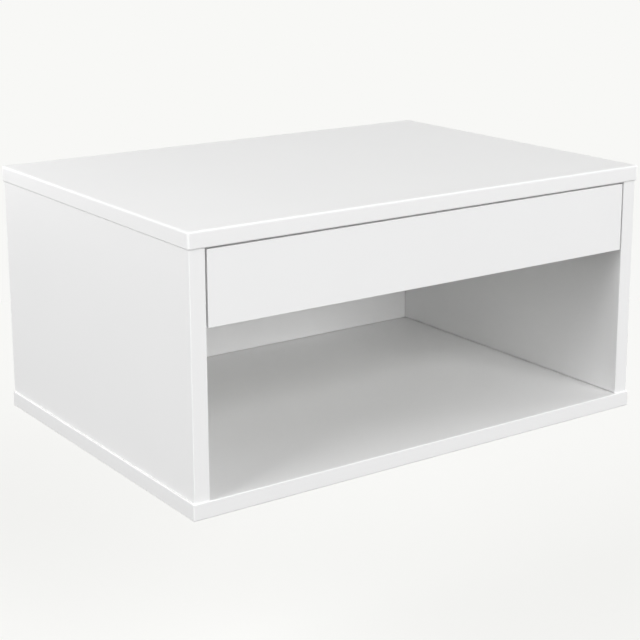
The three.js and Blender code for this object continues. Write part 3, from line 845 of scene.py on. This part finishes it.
@dataclass
class Cabinet:
    """The lacquered boards: top, base, two sides and the back.

    The top and the base stand a little past the sides. Their edges are well rounded where they show and cut square
    at the wall, and the sides' two front edges are rounded too.
    """

    edge_round: float = 1.6
    top_crown: float = 1.5
    base_crown: float = 0.75
    top_corner: float = 3.0
    base_corner: float = 1.7
    cut_ease: float = 0.4
    cut_room: float = 4.0
    side_round: float = 1.1
    joint_ease: float = 1.0
    joint_depth: float = 7.0
    back_ease: float = 0.9
    back_front_edge: Edge = (1.0, 8.0)
    back_rear_edge: Edge = (0.35, 0.35)
    screw_hole: Profile = ((5.3, 0.0), (5.3, 0.3), (3.8, 3.3), (3.8, 6.0))
    cam_pocket: Profile = ((7.8, 0.0), (7.8, 13.1))

    def wide_board(self, name: str, node: str, crown: float, corner: float, screws: Sequence[str] = ()) -> None:
        """Builds the top or the base.

        Args:
            name: The piece's name.
            node: The solid that it stands for.
            crown: How much rounder its upper edge is than its lower one.
            corner: The radius of its two front corners.
            screws: The screws whose heads lie in its underside.
        """
        low, high = Lay.FLAT.box(node)
        beneath = [Recess(*Lay.FLAT.middle(screw)[:2], self.screw_hole) for screw in screws]
        levels = [*sorted({recess.v for recess in beneath}), high[1] - self.cut_room]
        stops = [(v, self.edge_round, self.edge_round) for v in levels]
        # A rear corner is at least as round as its edges are drawn in, so that the outline doesn't cross itself.
        corners = (corner,) * 2 + (self.cut_ease * max(crown, 1.0),) * 2
        eases = (self.edge_round,) * 2 + (self.cut_ease,) * 2
        outline = rounded_rectangle(low, high, corners, eases, stops)
        shell = slab(outline, low[2], high[2], beneath, high_edge=(crown, crown))
        make_piece(name, shell, Lay.FLAT, Slot.LACQUER, node)

    def side_board(self, side: str) -> None:
        """Builds one side, with the round pockets of its two cam locks in its inner face.

        Under its inner face both ends are cut back narrow and deep: the fine dark line along the shelf.

        Args:
            side: Which side: left or right.
        """
        node = f"side_panel_{side}"
        low, high = Lay.FLAT.box(node)
        pockets = [Recess(*Lay.FLAT.middle(f"cam_lock_{side}_{end}")[1:], self.cam_pocket) for end in ENDS]
        inner, eases = high[0], (self.cut_ease, self.joint_ease)
        if side == "right":
            inner, eases = low[0], eases[::-1]
        stops = [(v, *eases) for v in (low[1] + self.cut_room, high[1] - self.cut_room)]
        corners = (self.side_round,) * 2 + (self.cut_ease,) * 2
        outline = rounded_rectangle(low, high, corners, self.cut_ease, stops)
        edge = (np.where(outline.ease > self.cut_ease, self.joint_depth, 1.0), 1.0)
        shell = slab(
            outline,
            low[2],
            high[2],
            rows=[pockets[0].v],
            wall=(inner, pockets),
            low_edge=edge,
            high_edge=edge,
        )
        make_piece(f"side_board_{side}", shell, Lay.FLAT, Slot.LACQUER, node)

    def build(self) -> None:
        """Builds the five boards. The back's front edges are cut deep: the dark lines in the shelf's corners."""
        self.wide_board("top_board", "top_panel", self.top_crown, self.top_corner)
        screws = [f"base_screw_{side}_{end}" for side in SIDES for end in ENDS]
        self.wide_board("base_board", "base_panel", self.base_crown, self.base_corner, screws)
        for side in SIDES:
            self.side_board(side)
        ease, edges = self.back_ease, (self.back_front_edge, self.back_rear_edge)
        plain_board("back_board", "back_panel", Lay.UPRIGHT, Slot.LACQUER, ease, ease, *edges)


def placed(section: Array, low: float, high: float, level: float, mirrored: bool) -> Array:
    """Puts a section, drawn from its back at u zero on, between two values of u and at a level of v.

    Args:
        section: The section's points, against the clock.
        low: The lowest u.
        high: The highest u.
        level: The v that its zero comes to.
        mirrored: Whether its back is at the highest u.

    Returns:
        The points, still against the clock.
    """
    return (section * [-1, 1] + [high, level])[::-1] if mirrored else section + [low, level]


@dataclass
class Drawer:
    """The drawer: a lacquered front and a foiled box with softly rounded top edges and a bottom in grooves."""

    front_corner: float = 0.9
    front_ease: float = 0.6
    top_round: float = 2.2
    low_round: float = 0.5
    groove_depth: float = 6.3
    groove_play: float = 0.3
    groove_ease: float = 0.2
    bottom_ease: float = 0.3

    def wall(self, label: str, lay: Lay, mirrored: bool) -> None:
        """Builds one wall of the box, with the groove that holds the bottom along its inner face.

        Args:
            label: Which wall: left, right, front or back.
            lay: How the wall lies, with u through its thickness.
            mirrored: Whether its inner face looks towards -u.
        """
        node = f"drawer_box_{label}"
        low, high = lay.box(node)
        bottom_low, bottom_high = lay.box("drawer_bottom")
        under, over = bottom_low[1] - self.groove_play, bottom_high[1] + self.groove_play
        thick = high[0] - low[0]
        deep = thick - self.groove_depth
        section = [
            (0.0, low[1], self.low_round),
            (thick, low[1], self.low_round),
            (thick, under, self.groove_ease),
            (deep, under, 0.0),
            (deep, over, 0.0),
            (thick, over, self.groove_ease),
            (thick, high[1], self.top_round),
            (0.0, high[1], self.top_round),
        ]
        points = placed(filleted(section), low[0], high[0], 0.0, mirrored)
        make_piece(f"drawer_wall_{label}", bar(points, low[2], high[2]), lay, Slot.FOIL, node)

    def build(self) -> None:
        """Builds the front, the four walls and the bottom."""
        corner, ease = self.front_corner, self.front_ease
        plain_board("drawer_face", "drawer_front", Lay.UPRIGHT, Slot.LACQUER, corner, ease)
        self.wall("left", Lay.UPRIGHT, False)
        self.wall("right", Lay.UPRIGHT, True)
        self.wall("front", Lay.SIDEWAYS, False)
        self.wall("back", Lay.SIDEWAYS, True)
        plain_board("drawer_floor", "drawer_bottom", Lay.FLAT, Slot.FOIL, self.bottom_ease, self.bottom_ease)


@dataclass
class Runner:
    """One ball-bearing slide: three channels of rolled sheet, one inside the other, with rounded ball tracks."""

    side: str
    sheet: float = 1.2
    lip: float = 1.1
    web_bend: float = 1.7
    track_bend: float = 2.1
    tip_round: float = 0.3
    hole_radius: float = 2.3
    slot_straight: float = 4.0
    long_slot_straight: float = 6.0
    slot_share: float = 0.5
    outer_shares: tuple[float, ...] = (0.08, 0.9)
    middle_shares: tuple[float, ...] = (0.05, 0.93)
    inner_shares: tuple[float, ...] = (0.07, 0.93)
    inner_slot_shares: tuple[float, ...] = (0.36, 0.55)

    def channel(self, half: float, reach: float, lipped: bool) -> Array:
        """The section of a channel that opens towards +u, with its web's middle at zero.

        Args:
            half: Half of the channel's height.
            reach: Its depth.
            lipped: Whether its two flanges end in lips that hold the balls. The drawer's own member has none.

        Returns:
            The section against the clock.
        """
        hollow, lip_end, inside = half - self.sheet, half - self.sheet - self.lip, reach - self.sheet
        flange = [(reach, hollow, self.tip_round), (reach, half, self.tip_round)]
        if lipped:
            flange = [
                (inside, hollow, self.track_bend - self.sheet),
                (inside, lip_end, self.tip_round),
                (reach, lip_end, self.tip_round),
                (reach, half, self.track_bend),
            ]
        upper = [(self.sheet, hollow, self.web_bend - self.sheet), *flange, (0.0, half, self.web_bend)]
        lower = [(u, -v, radius) for u, v, radius in upper[::-1]]
        return filleted([(self.sheet, 0.0, 0.0), *upper, (0.0, 0.0, 0.0), *lower])

    def member(self, label: str, lipped: bool, mirrored: bool, holes: Sequence[tuple[float, float]]) -> None:
        """Builds one member.

        Args:
            label: Which member: outer, middle or inner.
            lipped: Whether it has lips.
            mirrored: Whether it opens towards -X.
            holes: Each hole's share of the length from the front, and half of its straight part.
        """
        node = f"slide_{label}_{self.side}"
        low, high = Lay.UPRIGHT.box(node)
        length, level = high[2] - low[2], (low[1] + high[1]) / 2
        section = self.channel((high[1] - low[1]) / 2, high[0] - low[0], lipped)
        points = placed(section, low[0], high[0], level, mirrored)
        spots = tuple((high[2] - share * length, straight, self.hole_radius) for share, straight in sorted(holes))
        shell = bar(points, low[2], high[2], Row(level, spots))
        make_piece(f"runner_{label}_{self.side}", shell, Lay.UPRIGHT, Slot.SLIDE, node)

    def build(self) -> None:
        """Builds the outer, the middle and the inner member, with holes at their ends and for their screws."""
        on_right = self.side == "right"
        low, high = Lay.UPRIGHT.box(f"slide_outer_{self.side}")
        screws = [Lay.UPRIGHT.middle(f"inner_slide_screw_{self.side}_{end}") for end in ENDS]
        shares = [(high[2] - screw[2]) / (high[2] - low[2]) for screw in screws]
        outer = [(share, 0.0) for share in (*self.outer_shares, *shares)]
        middle = [(share, 0.0) for share in self.middle_shares]
        inner = [(share, 0.0) for share in (*self.inner_shares, *shares)]
        slots = [(share, self.slot_straight) for share in self.inner_slot_shares]
        self.member("outer", True, on_right, [*outer, (self.slot_share, self.slot_straight)])
        self.member("middle", True, on_right, [*middle, (self.slot_share, self.long_slot_straight)])
        self.member("inner", False, not on_right, [*inner, *slots])


@dataclass
class HangerPair:
    """Two extruded rails that hook into each other behind the back, one on the cabinet and one for the wall."""

    slack: float = 0.4
    stand_off: float = 0.3
    leg: float = 16.0
    ease: float = 0.5
    cabinet_hole: float = 2.3
    wall_hole: float = 2.75

    def section(self, low: Array, high: Array, over: bool) -> Array:
        """The stepped section: a plate, a step, and a leg that hangs or stands beside the other rail's.

        Args:
            low: The rail's lowest corner.
            high: Its highest corner.
            over: Whether this is the cabinet's rail, whose plate is above its leg.

        Returns:
            The section against the clock, with a point at the plate's middle on both its faces.
        """
        deep, tall = high[0] - low[0], high[1] - low[1]
        plate = (deep + self.stand_off - self.slack) / 2
        back = deep + self.stand_off - plate
        step, middle = self.leg + plate, (self.leg + tall) / 2
        corners = [
            (deep, 0.0, self.ease),
            (deep, step, self.ease),
            (plate, step, self.ease),
            (plate, middle, 0.0),
            (plate, tall, self.ease),
            (0.0, tall, self.ease),
            (0.0, middle, 0.0),
            (0.0, self.leg, self.ease),
            (back, self.leg, self.ease),
            (back, 0.0, self.ease),
        ]
        points = filleted(corners)
        return (points if over else [deep, tall] - points) + low[:2]

    def rail(self, label: str, over: bool, radius: float) -> None:
        """Builds one rail with its four holes.

        Args:
            label: Which rail: cabinet or wall.
            over: Whether its plate is above its leg.
            radius: The holes' radius.
        """
        node = f"hanger_rail_{label}"
        low, high = Lay.SIDEWAYS.box(node)
        half = (high[1] - low[1] - self.leg) / 2
        holes = tuple((Lay.SIDEWAYS.middle(f"hanger_screw_{k}")[2], 0.0, radius) for k in FOUR)
        row = Row(high[1] - half if over else low[1] + half, holes)
        shell = bar(self.section(low, high, over), low[2], high[2], row)
        make_piece(f"{label}_rail", shell, Lay.SIDEWAYS, Slot.RAIL, node)

    def build(self) -> None:
        """Builds both rails."""
        self.rail("cabinet", True, self.cabinet_hole)
        self.rail("wall", False, self.wall_hole)


@dataclass(frozen=True)
class Fixing:
    """A turned fixing, face up: its body's radii and heights from the rim on, its domed face, and its drive."""

    body: Profile
    face_radius: float
    dome: float
    drive: Drive
    rings: int = 22

    def shell(self) -> Shell:
        """Carries each radius and height round w, at (r cos t, r sin t, h), and sinks the drive into the face.

        The face's middle is at height zero, and it falls towards its rim by the dome, along a parabola.

        Returns:
            The closed shell.
        """
        reach = np.linspace(0, self.face_radius, self.rings)
        body_radius, body_height = np.array(self.body).T
        radius = np.concatenate([reach, body_radius])[:, None]
        height = np.concatenate([-self.dome * (reach / self.face_radius) ** 2, body_height])[:, None]
        angle = np.linspace(0, -2 * np.pi, TURNED_SIDES + 1)[None]
        u, v = radius * np.cos(angle), radius * np.sin(angle)
        on_face = (np.arange(len(radius)) < self.rings)[:, None]
        grid = np.stack([u, v, height - self.drive.depth_at(u, v) * on_face], axis=2)
        grid[:, -1] = grid[:, 0]
        shell = Shell()
        shell.add_grid(grid)
        return shell


@dataclass(frozen=True)
class CrossScrew:
    """A cross-head screw: its head's radius and height, its length under the head, and its point's length.

    Heights run down from the middle of the domed head. The shares are of the head's height or radius.
    """

    head: float
    head_height: float
    length: float
    tip: float
    shank: float = 2.0
    dome_share: float = 0.35
    rim_share: float = 0.45
    shoulder_share: float = 0.97
    face_share: float = 0.93
    shoulder: float = 0.1
    drive: Drive = Drive(DriveKind.CROSS, width=1.0, depth=0.8, span=4.2)

    def fixing(self) -> Fixing:
        """Works out the turned form.

        Returns:
            The fixing.
        """
        dome = self.dome_share * self.head_height
        end = -self.head_height - self.length
        body = (
            (self.head * self.shoulder_share, -dome - self.shoulder),
            (self.head, -self.rim_share * self.head_height - self.shoulder),
            (self.head, -self.head_height),
            (self.shank, -self.head_height),
            (self.shank, end + self.tip),
            (0.0, end),
        )
        return Fixing(body, self.head * self.face_share, dome, self.drive)


class Fixings(Enum):
    """The fixings whose faces can be seen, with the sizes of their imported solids."""

    SLIDE_SCREW = CrossScrew(head=3.5, head_height=1.2, length=12.0, tip=3.0).fixing()
    FRONT_SCREW = CrossScrew(head=4.0, head_height=2.4, length=26.0, tip=4.0).fixing()
    HANGER_SCREW = CrossScrew(head=4.0, head_height=2.4, length=13.0, tip=3.0).fixing()
    BASE_SCREW = Fixing(
        body=((5.0, -0.3), (3.5, -3.0), (3.5, -16.0), (2.5, -16.0), (2.5, -46.0), (0.0, -50.0)),
        face_radius=4.8,
        dome=0.1,
        drive=Drive(DriveKind.HEX, width=4.0, depth=2.5),
    )
    CAM_LOCK = Fixing(
        body=((7.45, -0.35), (7.5, -0.6), (7.5, -12.5), (0.0, -12.5)),
        face_radius=7.1,
        dome=0.15,
        drive=Drive(DriveKind.CROSS, width=1.7, depth=2.0, span=9.0),
    )


@dataclass
class VisibleFixings:
    """Screws and cam locks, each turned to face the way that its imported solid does."""

    def add(self, node: str, kind: Fixings, slot: Slot, way: tuple[int, int, int]) -> None:
        """Places a fixing where its solid is.

        Args:
            node: The solid that it stands for.
            kind: Which fixing.
            slot: Its material slot.
            way: The direction that its face looks in.
        """
        low, high = Lay.FLAT.box(node)
        w = np.array(way, float)
        u = np.roll(w, 1) if way[2] == 0 else np.array([1.0, 0.0, 0.0])
        face = (low + high) / 2 + w * (high - low) / 2
        shell = kind.value.shell().moved(np.stack([u, np.cross(w, u), w]), face)
        make_piece(f"{node}_turned", shell, Lay.FLAT, slot, node)

    def build(self) -> None:
        """Places every fixing."""
        for side, inward in zip(SIDES, (1, -1)):
            for end in ENDS:
                place = f"{side}_{end}"
                self.add(f"cam_lock_{place}", Fixings.CAM_LOCK, Slot.CAM, (inward, 0, 0))
                self.add(f"base_screw_{place}", Fixings.BASE_SCREW, Slot.SCREW, (0, 0, -1))
                self.add(f"outer_slide_screw_{place}", Fixings.SLIDE_SCREW, Slot.SCREW, (inward, 0, 0))
                self.add(f"inner_slide_screw_{place}", Fixings.SLIDE_SCREW, Slot.SCREW, (-inward, 0, 0))
        for k in FOUR:
            self.add(f"hanger_screw_{k}", Fixings.HANGER_SCREW, Slot.SCREW, (0, 1, 0))
            self.add(f"front_screw_{k}", Fixings.FRONT_SCREW, Slot.SCREW, (0, 1, 0))


@dataclass
class CarriedOver:
    """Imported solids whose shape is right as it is. They only get their finish."""

    beginnings: tuple[tuple[str, Slot], ...] = (
        ("ball_cage", Slot.CAGE),
        ("cam_bolt", Slot.SCREW),
        ("top_dowel", Slot.DOWEL),
        ("base_dowel", Slot.DOWEL),
        ("back_dowel", Slot.DOWEL),
    )

    def build(self) -> None:
        """Gives each its material."""
        for name, node in frame["nodes"].items():
            for beginning, slot in self.beginnings:
                if name.startswith(beginning):
                    node.data.materials.clear()
                    node.data.materials.append(slot.finish().material())
                    LOG.info("%s: kept, with the finish of %s", name, slot.value)


# Studio


@dataclass(frozen=True)
class Softbox:
    """A large soft lamp: where it stands, its width and height in metres, its power, and where it looks."""

    name: str
    place: Triple
    size: tuple[float, float]
    watts: float
    aim: Triple = (0.0, 0.0, 0.15)

    def build(self) -> None:
        """Adds the lamp."""
        data = bpy.data.lights.new(self.name, "AREA")
        data.shape = "RECTANGLE"
        data.size, data.size_y = self.size
        data.energy = self.watts
        lamp = add_object(self.name, data)
        lamp.location = self.place
        lamp.rotation_euler = (Vector(self.aim) - Vector(self.place)).to_track_quat("-Z", "Y").to_euler()
        lamp.visible_camera = False


@dataclass(frozen=True)
class PhotoCamera:
    """The camera at the photograph's angle: place in metres, angles in degrees, lens and sensor in millimetres.

    The yaw turns it left from looking along +Y, and the pitch turns it down from the horizon.
    """

    place: Triple = (-1.0030, -1.4371, 0.6120)
    yaw: float = -34.918
    pitch: float = 13.240
    roll: float = 0.172
    lens: float = 86.54
    sensor: float = 36.0
    shift: float = -0.12

    def build(self) -> None:
        """Adds the camera: raised from straight down to the horizon, and turned by the three angles."""
        data = bpy.data.cameras.new("photo_camera")
        data.sensor_width = self.sensor
        data.lens = self.lens
        data.shift_y = self.shift
        camera = add_object(data.name, data)
        turns = ((self.yaw, "Z"), (90 - self.pitch, "X"), (-self.roll, "Z"))
        yaw, pitch, roll = (Matrix.Rotation(np.radians(angle), 4, axis) for angle, axis in turns)
        camera.matrix_world = Matrix.Translation(self.place) @ yaw @ pitch @ roll
        bpy.context.scene.camera = camera


@dataclass
class Studio:
    """A pale floor well below the hanging cabinet, a pale background and soft light.

    Lengths are in metres. The floor has a darker tone for the light that it throws back than for the eye, and what
    the eye sees of it passes over to plain background with distance.
    """

    background: str = "#f8f8f6"
    floor_tone: str = "#f0f0ee"
    bounce_tone: str = "#707070"
    floor_level: float = -0.42
    floor_radius: float = 7.0
    floor_rings: int = 24
    floor_sides: int = 96
    plain_start: float = 0.5
    plain_end: float = 2.2
    plain_share: float = 0.62
    ambient: float = 0.22
    lamps: tuple[Softbox, ...] = (
        Softbox("front_softbox", place=(0.4, -5.8, 2.65), size=(4.6, 3.8), watts=292.0),
        Softbox("left_softbox", place=(-2.4, -0.3, 1.4), size=(1.6, 1.6), watts=44.0),
        Softbox("right_softbox", place=(2.6, -0.2, 0.6), size=(1.6, 1.2), watts=34.0),
        Softbox("rear_softbox", place=(-0.5, 2.7, 0.5), size=(2.4, 1.4), watts=34.0),
    )

    def floor(self) -> None:
        """Builds the floor: rings of radius r at angle t, at (r cos t, r sin t)."""
        radius = np.linspace(0, self.floor_radius, self.floor_rings + 1)[:, None]
        angle = np.linspace(0, 2 * np.pi, self.floor_sides + 1)[None]
        ring = np.broadcast_arrays(radius * np.cos(angle), radius * np.sin(angle), self.floor_level)
        shell = Shell()
        shell.add_grid(np.stack(ring, axis=2) * PER_METRE)
        mesh = shell.mesh("floor", Lay.FLAT)
        mesh.materials.append(self.floor_material())
        floor = add_object("floor", mesh)

    def floor_material(self) -> bpy.types.Material:
        """Makes the pale seamless paper: matt, and without a mark.

        Returns:
            The material.
        """
        material = bpy.data.materials.new("seamless_paper")
        tree = emptied_tree(material)
        seen = self.seen_directly(tree)
        tones = {MIX_SHARE: seen, MIX_FIRST: linear(self.bounce_tone), MIX_SECOND: linear(self.floor_tone)}
        tone = add_node(tree, "ShaderNodeMix", tones, data_type="RGBA").outputs[MIX_RESULT]
        paper = add_node(tree, "ShaderNodeBsdfDiffuse", {"Color": tone, "Roughness": 1.0})
        place = add_node(tree, "ShaderNodeTexCoord").outputs["Object"]
        far = add_node(tree, "ShaderNodeVectorMath", {0: place}, operation="LENGTH").outputs["Value"]
        plainness = {
            "Value": far,
            "From Min": self.plain_start,
            "From Max": self.plain_end,
            "To Min": self.plain_share,
            "To Max": 1.0,
        }
        share = add_node(tree, "ShaderNodeMapRange", plainness, interpolation_type="SMOOTHSTEP").outputs[0]
        where_seen = add_node(tree, "ShaderNodeMath", {0: seen, 1: share}, operation="MULTIPLY").outputs[0]
        plain = add_node(tree, "ShaderNodeEmission", {"Color": linear(self.background), "Strength": 1.0})
        mixed = add_node(tree, "ShaderNodeMixShader", {0: where_seen, 1: paper.outputs[0], 2: plain.outputs[0]})
        add_node(tree, "ShaderNodeOutputMaterial", {"Surface": mixed.outputs[0]})
        return material

    def seen_directly(self, tree: Tree) -> Socket:
        """Adds the nodes that tell looking from lighting.

        Args:
            tree: The node tree.

        Returns:
            1 for what the camera sees directly, in a reflection or through glass, and 0 for lighting.
        """
        path = add_node(tree, "ShaderNodeLightPath").outputs
        looked = {0: path["Is Camera Ray"], 1: path["Is Glossy Ray"]}
        first = add_node(tree, "ShaderNodeMath", looked, operation="MAXIMUM").outputs[0]
        either = {0: first, 1: path["Is Transmission Ray"]}
        return add_node(tree, "ShaderNodeMath", either, operation="MAXIMUM").outputs[0]

    def world(self) -> None:
        """Makes the world: a plain pale background, and an even soft light that is dimmer."""
        world = bpy.data.worlds.new("studio")
        bpy.context.scene.world = world
        tree = emptied_tree(world)
        soft = add_node(tree, "ShaderNodeBackground", {"Color": linear("#ffffff"), "Strength": self.ambient})
        plain = add_node(tree, "ShaderNodeBackground", {"Color": linear(self.background), "Strength": 1.0})
        both = {0: self.seen_directly(tree), 1: soft.outputs[0], 2: plain.outputs[0]}
        mixed = add_node(tree, "ShaderNodeMixShader", both)
        add_node(tree, "ShaderNodeOutputWorld", {"Surface": mixed.outputs[0]})

    def build(self) -> None:
        """Builds the floor, the world, the lamps and the camera."""
        bpy.context.scene.view_settings.view_transform = "Standard"
        self.floor()
        self.world()
        for lamp in self.lamps:
            lamp.build()
        PhotoCamera().build()


def main() -> None:
    """Builds the nightstand and its studio, one sub-assembly after another."""
    logging.basicConfig(level=logging.INFO, format="%(message)s")
    parts = (
        Cabinet(),
        Drawer(),
        *(Runner(side) for side in SIDES),
        HangerPair(),
        VisibleFixings(),
        CarriedOver(),
        Studio(),
    )
    for part in parts:
        LOG.info("building %s", type(part).__name__)
        part.build()


if __name__ == "__main__":
    main()
